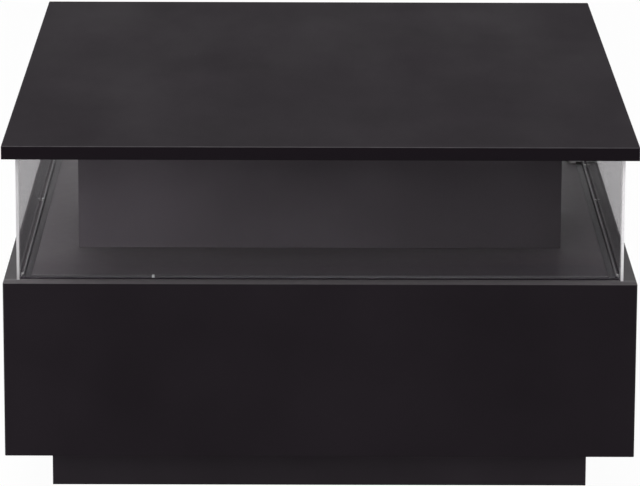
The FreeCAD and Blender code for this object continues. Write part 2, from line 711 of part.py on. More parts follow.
def drawer_frame(hand, position, turn=UPRIGHT):
    """The right drawer is the left one turned half round the table's middle."""
    if hand == "left":
        return position, turn
    x, y, z = position
    return (minus(x), minus(y), z), HALF_TURN_Z * turn


def channel_outline(web, direction, flange, half, lip_direction):
    """A channel section: a web, two flanges and a lip at each flange's free end."""
    sign = " + " if direction > 0 else " - "
    web_in = web + sign + "runner_steel"
    tip = web + sign + "(%s)" % flange
    tip_in = web + sign + "(%s - runner_steel)" % flange
    if lip_direction < 0:
        lip = "(%s - runner_steel - race_lip)" % half
        lower = [(web, minus(half)), (tip, minus(half)), (tip, minus(lip)),
                 (tip_in, minus(lip)), (tip_in, minus(half) + " + runner_steel"),
                 (web_in, minus(half) + " + runner_steel")]
    else:
        lip = "(%s + race_lip)" % half
        lower = [(web, minus(half)), (tip_in, minus(half)), (tip_in, minus(lip)),
                 (tip, minus(lip)), (tip, minus(half) + " + runner_steel"),
                 (web_in, minus(half) + " + runner_steel")]
    return lower + [(x, minus(z)) for x, z in reversed(lower)]


def runner_member(name, frame, outline):
    body = new_body(name, *frame)
    sketch = new_sketch(body, "YZ_Plane")
    add_outline(sketch, outline)
    pad(body, sketch, RUNNER_LENGTH)
    return body


def round_bends(body, radius):
    """Round a member's outer bends, which run along the slide."""
    doc.recompute()
    box = body.Tip.Shape.BoundBox
    round_edges(body, radius, lambda edge: (
        abs(edge.tangentAt(edge.FirstParameter).x) > 0.9
        and min(abs(edge.CenterOfMass.z - box.ZMin), abs(edge.CenterOfMass.z - box.ZMax)) < 1e-4))


def cut_fixing_holes(body, wall):
    """A fixing hole near each end of a member's web."""
    holes = new_sketch(body, "XZ_Plane", minus(wall))
    for x in ("hole_inset", RUNNER_LENGTH + " - hole_inset"):
        add_circle(holes, x, "0", "runner_hole")
    pocket(body, holes, "runner_steel", False)


def make_runner(hand, side_name, side):
    """One runner: its members lie from the wall towards the drawer along local +Y."""
    wall = minus(PANEL_INSIDE) if side < 0 else PANEL_INSIDE
    turn = UPRIGHT if side < 0 else HALF_TURN_X
    frame = drawer_frame(hand, (minus(RUNNER_START), wall, RUNNER_LEVEL), turn)
    prefix = "%s_%s_runner_" % (hand, side_name)

    cabinet = runner_member(prefix + "cabinet", frame, channel_outline(
        "0", 1, "cabinet_flange", "runner_height / 2", -1))
    round_bends(cabinet, "bend")
    cut_fixing_holes(cabinet, "0")

    middle = runner_member(prefix + "middle", frame, channel_outline(
        "middle_offset", 1, "middle_flange", MIDDLE_HALF, -1))
    round_bends(middle, "bend")

    drawer = runner_member(prefix + "drawer", frame, channel_outline(
        "runner_width", -1, "drawer_flange", DRAWER_MEMBER_HALF, 1))
    cut_fixing_holes(drawer, "runner_width - runner_steel")
    return frame


def make_cage_master(name, web, row):
    """A ball cage: a thin channel with a row of ball windows in each flange."""
    distance, height = row
    half = "(%s + cage_steel / 2)" % height
    body = new_body(name, ("0", "0", "0"), node=False)
    sketch = new_sketch(body, "YZ_Plane")
    inner = half + " - cage_steel"
    lower = [(web, minus(half)), (web + " + cage_flange", minus(half)),
             (web + " + cage_flange", minus(inner)), (web + " + cage_steel", minus(inner))]
    add_outline(sketch, lower + [(y, minus(z)) for y, z in reversed(lower)])
    pad(body, sketch, "cage_length")
    windows = new_sketch(body, "XY_Plane")
    window = "(ball + 2 * ball_play)"
    for step in range(BALLS_PER_ROW):
        add_rectangle(windows, "%s - %s / 2" % (ball_place(step), window),
                      "%s - %s / 2" % (distance, window), window, window)
    feature = pocket(body, windows, "runner_height", False)
    feature.SideType = "Symmetric"
    return body


def ball_place(step):
    return "cage_length * %g" % ((step + 0.5) / BALLS_PER_ROW)


def make_ball():
    """A bearing ball with few faces: an eight-sided prism whose ends are cut back."""
    body = new_body("ball_master", ("0", "0", "0"), node=False)
    sketch = new_sketch(body, "XY_Plane")
    add_polygon(sketch, "ball", BALL_SIDES)
    pad(body, sketch, "ball", midplane=True)
    doc.recompute()
    last = body.Tip
    names = ["Edge%d" % (i + 1) for i, edge in enumerate(last.Shape.Edges)
             if abs(edge.CenterOfMass.z) > 1e-4]
    feature = body.newObject("PartDesign::Chamfer", "ball_master_chamfer")
    feature.Base = (last, names)
    cut_back = 0.5 - 0.5 * math.tan(math.pi / BALL_SIDES)
    feature.setExpression("Size", bound("ball * %.6f" % cut_back))
    return body


def make_runners():
    """Two runners for each drawer, with the cages that travel between their members."""
    ball = make_ball()
    start = "(%s / 2 - cage_length / 2)" % RUNNER_LENGTH
    rows = (("outer", OUTER_ROW, make_cage_master(
                "outer_cage_master", "(runner_steel + cage_play)", OUTER_ROW)),
            ("inner", INNER_ROW, make_cage_master(
                "inner_cage_master", "(middle_offset + runner_steel + cage_play)", INNER_ROW)))
    for hand in ("left", "right"):
        sides = (("front", -1), ("rear", 1)) if hand == "left" else (("rear", -1), ("front", 1))
        frames = [make_runner(hand, side_name, side) for side_name, side in sides]
        for row_name, (distance, height), cage in rows:
            cages = [(cage, carry(position, turn, (start, "0", "0")), turn)
                     for position, turn in frames]
            balls = [(ball, carry(position, turn,
                                  (start + " + " + ball_place(step), distance, rise)), UPRIGHT)
                     for position, turn in frames
                     for step in range(BALLS_PER_ROW) for rise in (height, minus(height))]
            group("%s_%s_cages" % (hand, row_name), cages)
            group("%s_%s_balls" % (hand, row_name), balls)


# Drawers


def make_drawer(hand, tongue):
    """A drawer box behind a front that is pulled by a groove along its lower edge."""
    half, inside = DRAWER_HALF, minus(DRAWER_INSIDE_X)
    groove_room = "(drawer_base + 2 * drawer_groove_play)"
    sheet_half = "(%s - drawer_board + drawer_groove - drawer_groove_play)" % half
    names = {"left": {-1: "front", 1: "rear"}, "right": {-1: "rear", 1: "front"}}[hand]
    side_middle = "drawer_height / 2"

    front_half = "(%s - reveal)" % PANEL_INSIDE
    position = (minus(HALF_WIDTH), minus(front_half), FRONT_BASE)
    front = board(hand + "_drawer_front", *sized(hand, position, (
        "board", "2 * " + front_half, "%s - reveal - %s" % (FLOOR_UNDER, FRONT_BASE))))
    round_edges(front, "front_arris", lambda edge: abs(edge.CenterOfMass.x) < 1e-4)
    cut_grooves(front, "right", [
        ("0", "grip_rise", "2 * " + front_half, "grip_height"),
    ], "grip_depth")
    cut_grooves(front, "right", [
        ("%s - %s - drawer_groove_play" % (front_half, sheet_half),
         "%s - drawer_groove_play - %s" % (SHEET_LEVEL, FRONT_BASE),
         "2 * %s + 2 * drawer_groove_play" % sheet_half, groove_room),
    ], "drawer_groove")
    cut_grooves(front, "right", [
        upright_mortise("%s%s" % (front_half, sign + "(%s - drawer_board / 2)" % half),
                        "%s + %s - %s" % (DRAWER_LEVEL, side_middle, FRONT_BASE), DRAWER_TONGUE)
        for sign in (" - ", " + ")
    ], MORTISE_DEPTH)

    back_rise = "(drawer_groove_rise + drawer_base + drawer_groove_play)"
    back_middle = "(%s + drawer_height) / 2" % back_rise
    back_x = "(%s - drawer_board / 2)" % DRAWER_LENGTH
    tongues = []
    for side in (-1, 1):
        y = minus(half) if side < 0 else half + " - drawer_board"
        body = board("%s_drawer_side_%s" % (hand, names[side]), *sized(
            hand, (inside, y, DRAWER_LEVEL), (DRAWER_LENGTH, "drawer_board", "drawer_height")))
        inner_side = "rear" if side < 0 else "front"
        cut_grooves(body, inner_side, [
            ("0", "drawer_groove_rise - drawer_groove_play", DRAWER_LENGTH, groove_room),
        ], "drawer_groove")
        cut_grooves(body, inner_side, [upright_mortise(back_x, back_middle, DRAWER_TONGUE)],
                    MORTISE_DEPTH)
        cut_grooves(body, "left", [
            upright_mortise("drawer_board / 2", side_middle, DRAWER_TONGUE),
        ], MORTISE_DEPTH)
        front_point = (inside, y + " + drawer_board / 2", DRAWER_LEVEL + " + " + side_middle)
        joint_y = "(%s - drawer_board)" % half
        back_point = (inside + " + " + back_x, joint_y if side > 0 else minus(joint_y),
                      DRAWER_LEVEL + " + " + back_middle)
        for point, turn in ((front_point, UPRIGHT_ACROSS_X), (back_point, UPRIGHT_ACROSS_Y)):
            tongues.append((tongue, *drawer_frame(hand, point, turn)))

    back = board(hand + "_drawer_back", *sized(
        hand, (inside + " + %s - drawer_board" % DRAWER_LENGTH,
               minus(half) + " + drawer_board", DRAWER_LEVEL + " + " + back_rise),
        ("drawer_board", "2 * (%s - drawer_board)" % half, "drawer_height - " + back_rise)))
    for end in ("front", "rear"):
        cut_grooves(back, end, [
            upright_mortise("drawer_board / 2", "(drawer_height - %s) / 2" % back_rise,
                            DRAWER_TONGUE),
        ], MORTISE_DEPTH)
    board(hand + "_drawer_bottom", *sized(
        hand, (inside + " - drawer_groove + drawer_groove_play", minus(sheet_half), SHEET_LEVEL),
        (DRAWER_LENGTH + " + drawer_groove - drawer_groove_play", "2 * " + sheet_half,
         "drawer_base")))
    group(hand + "_drawer_tongues", tongues)


def sized(hand, position, size):
    """A drawer board's arguments in the table's frame."""
    position, turn = drawer_frame(hand, position)
    return position, size, turn


def check_document():
    """Stop if a feature failed or if a cut removed nothing."""
    for thing in doc.Objects:
        if "Invalid" in thing.State or "Error" in thing.State:
            raise RuntimeError("%s did not compute" % thing.Name)
        if thing.TypeId == "PartDesign::Pocket":
            before = thing.BaseFeature.Shape.Volume
            if thing.Shape.Volume > before - 0.1:
                raise RuntimeError("%s cut nothing" % thing.Name)
    for node in nodes:
        if node.Shape.isNull() or not node.Shape.isValid():
            raise RuntimeError("%s has no sound shape" % node.Label)


make_top()
make_display_floor()
make_panel("front_panel", minus(HALF_DEPTH), "rear")
make_panel("rear_panel", PANEL_INSIDE, "front")
make_level_board("bottom_board", *LEVELS[1], "top")
make_partition()
make_pedestal()
make_plinth()
make_carcass_tongues()
make_corner_tongues()
make_battens()
make_lead_grommet()
make_panes()
make_strips()
make_clips()
make_strip_joint()
make_runners()
drawer_tongue = make_tongue("drawer_tongue_master", DRAWER_TONGUE)
for hand in ("left", "right"):
    make_drawer(hand, drawer_tongue)

doc.recompute()
check_document()
os.makedirs("parts", exist_ok=True)
for node in nodes:
    node.Shape.exportStep("parts/%s.step" % node.Label)
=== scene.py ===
import math

import bmesh
import bpy
from mathutils import Matrix, Vector


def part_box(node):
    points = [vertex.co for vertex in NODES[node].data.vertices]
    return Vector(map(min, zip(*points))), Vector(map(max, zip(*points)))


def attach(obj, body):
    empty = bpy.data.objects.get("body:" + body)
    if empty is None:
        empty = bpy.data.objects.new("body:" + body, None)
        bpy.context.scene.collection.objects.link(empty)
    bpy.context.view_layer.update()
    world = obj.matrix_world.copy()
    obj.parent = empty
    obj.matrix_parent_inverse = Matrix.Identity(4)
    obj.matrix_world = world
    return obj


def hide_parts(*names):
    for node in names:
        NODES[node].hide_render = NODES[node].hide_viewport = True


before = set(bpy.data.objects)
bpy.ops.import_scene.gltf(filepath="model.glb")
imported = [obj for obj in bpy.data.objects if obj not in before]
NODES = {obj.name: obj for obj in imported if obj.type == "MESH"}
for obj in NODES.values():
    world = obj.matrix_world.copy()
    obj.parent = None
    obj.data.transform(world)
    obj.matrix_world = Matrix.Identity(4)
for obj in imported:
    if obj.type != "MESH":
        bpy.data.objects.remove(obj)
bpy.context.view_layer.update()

# Collectors display table: +X to the right, -Y towards the front, +Z up, in metres.

MM = 0.001
HANDS = ("left", "right")
ENDS = ("front", "rear")


def add_object(name, data):
    made = bpy.data.objects.new(name, data)
    bpy.context.scene.collection.objects.link(made)
    return made


# Camera, solved from the edges of the table in a picture of 640 x 486 pixels

IMAGE_WIDTH = 640
FOCAL_PIXELS = 4259.1
SENSOR = 36.0
FARTHEST_VIEW = 200.0
CAMERA_PLACE = Vector((-0.0168, -5.0067, 1.3742))
CAMERA_PITCH = math.radians(13.360)
CAMERA_YAW = math.radians(0.207)
CAMERA_ROLL = math.radians(0.198)


def make_camera():
    data = bpy.data.cameras.new("camera")
    data.sensor_width = SENSOR
    data.lens = FOCAL_PIXELS * SENSOR / IMAGE_WIDTH
    data.clip_end = FARTHEST_VIEW
    camera = add_object("camera", data)
    level = Vector((math.sin(CAMERA_YAW), math.cos(CAMERA_YAW), 0.0))
    forward = level * math.cos(CAMERA_PITCH) - Vector((0, 0, math.sin(CAMERA_PITCH)))
    flat_right = forward.cross(Vector((0, 0, 1))).normalized()
    flat_up = flat_right.cross(forward)
    right = flat_right * math.cos(CAMERA_ROLL) + flat_up * math.sin(CAMERA_ROLL)
    up = flat_up * math.cos(CAMERA_ROLL) - flat_right * math.sin(CAMERA_ROLL)
    turn = Matrix((right, up, -forward)).transposed()
    camera.matrix_world = Matrix.Translation(CAMERA_PLACE) @ turn.to_4x4()
    bpy.context.scene.camera = camera


# Shader nodes

# A noise texture lies mostly between these two values
NOISE_LOW = 0.3
NOISE_HIGH = 0.7

# How squarely a board's surface faces along its nearest axis, on a flat face and on an arris
FLAT_FACING = 0.9995
ARRIS_FACING = 0.97

# A surface that faces more than this far along Z faces up
UPWARD = 0.7


def new_material(name):
    material = bpy.data.materials.new(name)
    material.use_nodes = True
    material.node_tree.nodes.clear()
    return material, material.node_tree


def set_input(tree, socket, value):
    """Give an input a value, or link another node's output to it."""
    if isinstance(value, bpy.types.NodeSocket):
        tree.links.new(value, socket)
    else:
        socket.default_value = value


def node(tree, kind, settings=None, **inputs):
    """Add a shader node; an input is a value or another node's output."""
    made = tree.nodes.new(kind)
    for key, value in (settings or {}).items():
        setattr(made, key, value)
    for key, value in inputs.items():
        set_input(tree, made.inputs[key.replace("_", " ")], value)
    return made


def finish_tree(tree, shader, output="ShaderNodeOutputMaterial"):
    tree.links.new(shader.outputs[0], tree.nodes.new(output).inputs["Surface"])


def math_node(tree, operation, first, second=0.0, clamp=False):
    made = node(tree, "ShaderNodeMath", {"operation": operation, "use_clamp": clamp})
    set_input(tree, made.inputs[0], first)
    set_input(tree, made.inputs[1], second)
    return made.outputs[0]


def multiply(tree, first, second):
    return math_node(tree, "MULTIPLY", first, second)


def larger(tree, first, second):
    return math_node(tree, "MAXIMUM", first, second)


def absolute(tree, value):
    return math_node(tree, "ABSOLUTE", value)


def above(tree, value, limit):
    """1 where a value is greater than a limit, else 0."""
    return math_node(tree, "GREATER_THAN", value, limit)


def below(tree, value, limit):
    """1 where a value is less than a limit, else 0."""
    return math_node(tree, "LESS_THAN", value, limit)


def opaque(color):
    return (*color, 1.0)


def scaled(color, share):
    return tuple(min(1.0, value * share) for value in color)


def mix_colors(tree, factor, first, second):
    """The first colour where the factor is 0 and the second where it is 1."""
    made = node(tree, "ShaderNodeMix", {"data_type": "RGBA"})
    # a colour mix has its factor at input 0 and its two colours at inputs 6 and 7
    for index, value in ((0, factor), (6, first), (7, second)):
        if isinstance(value, tuple):
            value = opaque(value)
        set_input(tree, made.inputs[index], value)
    return made.outputs[2]


def mix_shaders(tree, factor, first, second):
    """The first shader where the factor is 0 and the second where it is 1."""
    made = node(tree, "ShaderNodeMixShader", Fac=factor)
    tree.links.new(first.outputs[0], made.inputs[1])
    tree.links.new(second.outputs[0], made.inputs[2])
    return made


def own_place(tree):
    """The surface's place in metres."""
    return tree.nodes.new("ShaderNodeTexCoord").outputs["Object"]


def stretched_place(tree, scale=(1, 1, 1)):
    """The surface's place in metres; a scale above 1 squeezes a pattern along its axis."""
    return node(tree, "ShaderNodeMapping", Vector=own_place(tree), Scale=scale).outputs[0]


def split_vector(tree, vector):
    return node(tree, "ShaderNodeSeparateXYZ", Vector=vector).outputs


def facing(tree):
    """How far a surface faces along X, Y and Z, each from -1 to 1."""
    return split_vector(tree, tree.nodes.new("ShaderNodeTexCoord").outputs["Normal"])


def faces_along(tree, axis):
    """1 where a surface faces along an axis, either way, else 0."""
    return above(tree, absolute(tree, facing(tree)[axis]), 0.5)


def upward(tree):
    """1 where a surface faces up, else 0."""
    return above(tree, facing(tree)["Z"], UPWARD)


def rounded(tree):
    """1 on a rounded arris, which faces along no axis, and 0 on a board's flat faces."""
    x, y, z = (absolute(tree, value) for value in facing(tree))
    squarest = larger(tree, larger(tree, x, y), z)
    return remap(tree, squarest, FLAT_FACING, ARRIS_FACING, 0.0, 1.0)


def noise(tree, place, scale, detail=3.0, roughness=0.5):
    return node(tree, "ShaderNodeTexNoise", Vector=place, Scale=scale, Detail=detail,
                Roughness=roughness).outputs["Fac"]


def remap(tree, value, low, high, to_low, to_high):
    return node(tree, "ShaderNodeMapRange", Value=value, From_Min=low, From_Max=high,
                To_Min=to_low, To_Max=to_high).outputs[0]


def spread(tree, value, to_low, to_high):
    """Carry a noise over to a range of its own."""
    return remap(tree, value, NOISE_LOW, NOISE_HIGH, to_low, to_high)


def bump(tree, height, distance, strength=1.0):
    return node(tree, "ShaderNodeBump", Height=height, Distance=distance,
                Strength=strength).outputs[0]


# Laminated boards

LAMINATE = (0.0185, 0.0152, 0.0185)
EDGE_BAND = (0.0125, 0.0098, 0.0125)
# A painted highlight: the colour that rounded arrises take where they catch the light
ARRIS_HIGHLIGHT = (0.026, 0.023, 0.026)
# A paler tone for the display floor and the panels' upward faces; inside the gallery it is
# painted light
PALE_TONE = (0.132, 0.123, 0.129)
SPECK = (0.10, 0.10, 0.11)

# Clouds and grain move the tone about halfway between these two shares of the colour
GRAIN_DARK = 0.4
GRAIN_LIGHT = 1.6

# Specks of dust: how many cells there are to the metre, each with a speck or none, and a
# speck's radius as a share of its cell
SPECK_CELLS = 60.0
SPECK_RADIUS = 0.035

# Smudges are drawn out along Y; their noise changes the gloss between these two values
WIPE_PATTERN = (1.0, 0.35, 1.0)
WIPE_RANGE = (0.35, 0.7)


def grained_tone(tree, place, color):
    """A colour with faint clouds and a fine printed grain, and itself on average."""
    clouds = spread(tree, noise(tree, place, scale=7.0, detail=4.0), 0.9, 1.1)
    grain = spread(tree, noise(tree, place, scale=2600.0, detail=2.0), 0.86, 1.14)
    half_on_average = math_node(tree, "SUBTRACT", multiply(tree, clouds, grain), 0.5)
    return mix_colors(tree, half_on_average, scaled(color, GRAIN_DARK),
                      scaled(color, GRAIN_LIGHT))


def faded_tone(tree, tone, place, axis, start, end, first, last):
    """Scale a tone evenly along an axis, by first at start and by last at end."""
    share = remap(tree, split_vector(tree, place)[axis], start, end, first, last)
    return node(tree, "ShaderNodeVectorMath", {"operation": "SCALE"}, Vector=tone,
                Scale=share).outputs["Vector"]


def specked_tone(tree, tone, place, share):
    """Specks of dust in a share of the cells, on the surfaces that face up."""
    cells = node(tree, "ShaderNodeTexVoronoi", Vector=place, Scale=SPECK_CELLS)
    in_reach = below(tree, cells.outputs["Distance"], SPECK_RADIUS)
    draw = node(tree, "ShaderNodeSeparateColor", Color=cells.outputs["Color"]).outputs[0]
    chosen = above(tree, draw, 1.0 - share)
    settled = multiply(tree, multiply(tree, in_reach, chosen), upward(tree))
    return mix_colors(tree, settled, tone, SPECK)


def laminate_material(name, color=LAMINATE, roughness=0.45, specular=0.003, smudge=0.06,
                      arris_highlight=ARRIS_HIGHLIGHT, painted_light_fades=(), banded=False, paling=None, specks=0.0):
    """Black laminate: fine printed grain and an even satin with faint smudges.

    The arris colour is a painted highlight on its rounded arrises. Each of its fades gives
    faded_tone's axis, start, end, first and last. A banded board has darker edges.
    The paling function, if given, builds how much paler it is, from 0 to 1, and specks
    the share of the cells that hold a speck."""
    material, tree = new_material(name)
    place = stretched_place(tree)
    tone = grained_tone(tree, place, color)
    # Each fade paints light and shade along an axis
    for fade in painted_light_fades:
        tone = faded_tone(tree, tone, place, *fade)
    if banded:
        tone = mix_colors(tree, faces_along(tree, "Z"), EDGE_BAND, tone)
    # A painted highlight on the rounded arrises, patchy along them
    patchy = spread(tree, noise(tree, place, scale=45.0), 0.7, 1.0)
    tone = mix_colors(tree, multiply(tree, rounded(tree), patchy), tone, arris_highlight)
    # Paler, unevenly, where the paling function picks out; on the display floor's gallery this
    # is painted light
    if paling:
        uneven = spread(tree, noise(tree, place, scale=90.0, detail=4.0), 0.88, 1.0)
        tone = mix_colors(tree, multiply(tree, paling(tree), uneven), tone, PALE_TONE)
    if specks:
        tone = specked_tone(tree, tone, place, specks)
    wipes = noise(tree, stretched_place(tree, WIPE_PATTERN), scale=5.5, detail=5.0,
                  roughness=0.62)
    peel = noise(tree, place, scale=900.0, detail=2.0)
    shader = node(tree, "ShaderNodeBsdfPrincipled", Base_Color=tone,
                  Roughness=remap(tree, wipes, *WIPE_RANGE, roughness - smudge,
                                  roughness + smudge),
                  Normal=bump(tree, peel, distance=0.03 * MM, strength=0.35),
                  Specular_IOR_Level=specular)
    finish_tree(tree, shader)
    return material


# The display floor is paler in places: most beyond the front and rear panes, less beside the
# side panes; inside the gallery it is paler on the left than on the right, which is painted
# light, and it is paler again round the foot of the pedestal

SIDE_PALING = 0.45
# Painted light: the gallery floor's paling at the left and at the right
GALLERY_PAINTED_LIGHT = (0.39, 0.20)
# How much paler the floor is at the foot of the pedestal, fading out over the reach below
FOOT_PALING = 0.26
FOOT_REACH = 90 * MM

# A painted shadow: a line of this width along the front and rear panes' feet is kept dark,
# without the paler tone
PANE_FOOT_SHADOW = 3.6 * MM

# The painted light on the gallery's floor and on the pedestal changes from the left to the
# right between these distances from the middle
FADE_REACH = 300 * MM


def floor_paling(tree):
    """How much paler the display floor is, from 0 to 1; inside the gallery this carries
    painted light.
    """
    place = split_vector(tree, own_place(tree))
    x, y = (absolute(tree, value) for value in place[:2])
    side_pane, end_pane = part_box("pane_right"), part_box("pane_rear")
    pedestal_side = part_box("pedestal_right")[1][0]
    # The painted shadow along the front and rear panes' feet stays dark
    open_ends = above(tree, y, end_pane[1][1] + PANE_FOOT_SHADOW)
    open_sides = above(tree, x, side_pane[1][0])
    inside = multiply(tree, below(tree, y, end_pane[0][1]), below(tree, x, side_pane[0][0]))
    # Paler round the foot of the pedestal
    near_foot = remap(tree, larger(tree, x, y), pedestal_side, pedestal_side + FOOT_REACH,
                     FOOT_PALING, 0.0)
    # Inside the gallery, painted light falls off from the left to the right
    gallery = math_node(tree, "ADD", near_foot,
                        remap(tree, place[0], -FADE_REACH, FADE_REACH, *GALLERY_PAINTED_LIGHT))
    paling = larger(tree, open_ends, multiply(tree, inside, gallery))
    paling = larger(tree, paling, multiply(tree, open_sides, SIDE_PALING))
    return multiply(tree, paling, upward(tree))


# Acrylic

SHEET_IOR = 1.04
SHEET_ROUGHNESS = (0.006, 0.014)
CLEAR_TINT = (0.985, 0.980, 0.985)
GRAZING_TINT = (0.53, 0.52, 0.53)
FACE_REFLECTION = (0.02, 0.02, 0.02)

# The tint sets in between these two values of the layer weight, 0 square on and 1 along it
GRAZING_VIEW = (0.6, 0.93)

# Smears are drawn out upwards, and saw marks squeezed together
SMEAR_PATTERN = (1.0, 1.0, 0.12)
SAW_PATTERN = (1.0, 1.0, 12.0)

# The sawn edges run between these colours, and are painted paler towards the right, a painted
# light: the saw marks count by these shares at this distance to the left and to the right of
# the middle
SAWN_DARK = (0.56, 0.55, 0.56)
SAWN_LIGHT = (1.0, 0.985, 1.0)
SAWN_REACH = 330 * MM
SAWN_SHARES = (0.4, 2.2)

# The share of a lamp's light that the sheet lets through
LAMP_SHARE = (0.9, 0.9, 0.9)


def acrylic_material(name, edge_axis):
    """Clear sheet with faint smudges, greyer seen along it; its sawn edges are pale, and
    painted paler towards the right.
    """
    material, tree = new_material(name)
    smears = noise(tree, stretched_place(tree, SMEAR_PATTERN), scale=14.0)
    view = node(tree, "ShaderNodeLayerWeight", Blend=0.5).outputs["Facing"]
    grazing = remap(tree, view, *GRAZING_VIEW, 0.0, 1.0)
    sheet = node(tree, "ShaderNodeBsdfPrincipled",
                 Base_Color=mix_colors(tree, grazing, CLEAR_TINT, GRAZING_TINT),
                 Roughness=spread(tree, smears, *SHEET_ROUGHNESS), IOR=SHEET_IOR,
                 Transmission_Weight=1.0, Specular_IOR_Level=0.1,
                 Specular_Tint=opaque(FACE_REFLECTION))
    saw = noise(tree, stretched_place(tree, SAW_PATTERN), scale=300.0, detail=2.0)
    # Painted light: the sawn edges count paler towards the right
    lit = remap(tree, split_vector(tree, own_place(tree))["X"], -SAWN_REACH, SAWN_REACH,
                *SAWN_SHARES)
    edge = node(tree, "ShaderNodeBsdfPrincipled",
                Base_Color=mix_colors(tree, multiply(tree, saw, lit), SAWN_DARK, SAWN_LIGHT),
                Roughness=0.4, Normal=bump(tree, saw, distance=0.05 * MM))
    body = mix_shaders(tree, faces_along(tree, edge_axis), sheet, edge)
    lamps_pass = node(tree, "ShaderNodeBsdfTransparent", Color=opaque(LAMP_SHARE))
    shadow = tree.nodes.new("ShaderNodeLightPath").outputs["Is Shadow Ray"]
    finish_tree(tree, mix_shaders(tree, shadow, body, lamps_pass))
    return material


# Metal, wood, plastic and rubber

# How a pattern is squeezed along X, Y and Z
ROLLED = (1.0, 60.0, 60.0)
EVEN = (1.0, 1.0, 1.0)
PLY_GRAIN = (1.0, 1.0, 14.0)
SOFTWOOD_GRAIN = (1.5, 1.5, 12.0)

# The growth rings' pattern is squeezed by this share of the fibres' own
RING_SQUEEZE = 0.3


def steel_material(name, color, roughness, pattern=ROLLED):
    """Zinc-plated steel; rolling leaves fine lines along a strip."""
    material, tree = new_material(name)
    lines = noise(tree, stretched_place(tree, pattern), scale=40.0, detail=4.0)
    spangle = noise(tree, stretched_place(tree), scale=160.0)
    shader = node(tree, "ShaderNodeBsdfPrincipled", Metallic=1.0,
                  Base_Color=mix_colors(tree, spangle, scaled(color, 0.86),
                                        scaled(color, 1.1)),
                  Roughness=spread(tree, lines, roughness - 0.07, roughness + 0.09),
                  Normal=bump(tree, lines, distance=0.02 * MM, strength=0.5))
    finish_tree(tree, shader)
    return material


def wood_material(name, color, grain):
    """Pale raw wood; the grain's pattern is squeezed across its fibres."""
    material, tree = new_material(name)
    fibres = noise(tree, stretched_place(tree, grain), scale=30.0, detail=6.0,
                   roughness=0.65)
    wide_grain = tuple(value * RING_SQUEEZE for value in grain)
    rings = spread(tree, noise(tree, stretched_place(tree, wide_grain), scale=20.0),
                   0.75, 1.25)
    shader = node(tree, "ShaderNodeBsdfPrincipled", Specular_IOR_Level=0.3,
                  Base_Color=mix_colors(tree, multiply(tree, fibres, rings),
                                        scaled(color, 0.62), scaled(color, 1.25)),
                  Roughness=spread(tree, fibres, 0.6, 0.8),
                  Normal=bump(tree, fibres, distance=0.2 * MM, strength=0.5))
    finish_tree(tree, shader)
    return material


def plastic_material(name, color, roughness, specular=0.5):
    """Moulded plastic or rubber with a fine even texture."""
    material, tree = new_material(name)
    place = stretched_place(tree)
    cloud = noise(tree, place, scale=30.0)
    texture = noise(tree, place, scale=1400.0, detail=2.0)
    shader = node(tree, "ShaderNodeBsdfPrincipled", Specular_IOR_Level=specular,
                  Base_Color=mix_colors(tree, cloud, scaled(color, 0.85),
                                        scaled(color, 1.12)),
                  Roughness=spread(tree, texture, roughness - 0.05, roughness + 0.05),
                  Normal=bump(tree, texture, distance=0.03 * MM, strength=0.5))
    finish_tree(tree, shader)
    return material


# Each node's material

def dress(names, material):
    """Give CAD nodes a finished material."""
    for name in names:
        slots = NODES[name].data.materials
        if len(slots):
            slots[0] = material
        else:
            slots.append(material)


def dress_boards():
    # The top's rounded arrises take a brighter painted highlight
    dress(["top_panel"],
          laminate_material("top_laminate", arris_highlight=(0.087, 0.082, 0.087), banded=True,
                            specks=0.06))
    dress(["display_floor"],
          laminate_material("display_floor_laminate", color=(0.0190, 0.0155, 0.0202),
                            roughness=0.24, specular=0.007, smudge=0.03, paling=floor_paling))
    # The panels are paler on their upward faces
    dress(["front_panel", "rear_panel"], laminate_material("panel_laminate", paling=upward))
    # The pedestal's pale colour is painted light, the haze of the acrylic panes in front of
    # it; it is painted lighter on the left than on the right, and darker at its foot than at
    # its head, painted shade
    foot, head = (corner[2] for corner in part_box("pedestal_front"))
    dress(["pedestal_" + side for side in ("front", "rear", "left", "right")],
          laminate_material("pedestal_laminate", color=(0.0622, 0.0558, 0.0625),
                            painted_light_fades=(("X", -FADE_REACH, FADE_REACH, 1.37, 0.60),
                                   ("Z", foot, head, 0.88, 1.14))))
    # The plinth's paler colour is painted light, for the light that the white floor throws up
    # on it
    dress(["plinth_" + side for side in ("front", "rear", "left", "right", "brace")],
          laminate_material("plinth_laminate", color=(0.045, 0.0385, 0.045)))
    dress(["bottom_board", "centre_partition"],
          laminate_material("inside_laminate", roughness=0.5, smudge=0.04))


def dress_fittings():
    dress(["pane_left", "pane_right"], acrylic_material("side_acrylic", "Y"))
    dress(["pane_front", "pane_rear"], acrylic_material("cross_acrylic", "X"))
    dress(["strip_clips"],
          plastic_material("clip_plastic", color=(0.28, 0.28, 0.28), roughness=0.2))
    dress(["strip_joint"],
          plastic_material("joint_plastic", color=(0.55, 0.55, 0.55), roughness=0.22))
    dress(["lead_grommet"],
          plastic_material("grommet_rubber", color=(0.018, 0.018, 0.018), roughness=0.62,
                           specular=0.3))


def dress_joinery():
    dress(["carcass_tongues", "corner_tongues"] + [hand + "_drawer_tongues" for hand in HANDS],
          wood_material("birch_plywood", color=(0.60, 0.45, 0.30), grain=PLY_GRAIN))
    dress(["pedestal_battens", "plinth_blocks"],
          wood_material("softwood", color=(0.58, 0.42, 0.26), grain=SOFTWOOD_GRAIN))


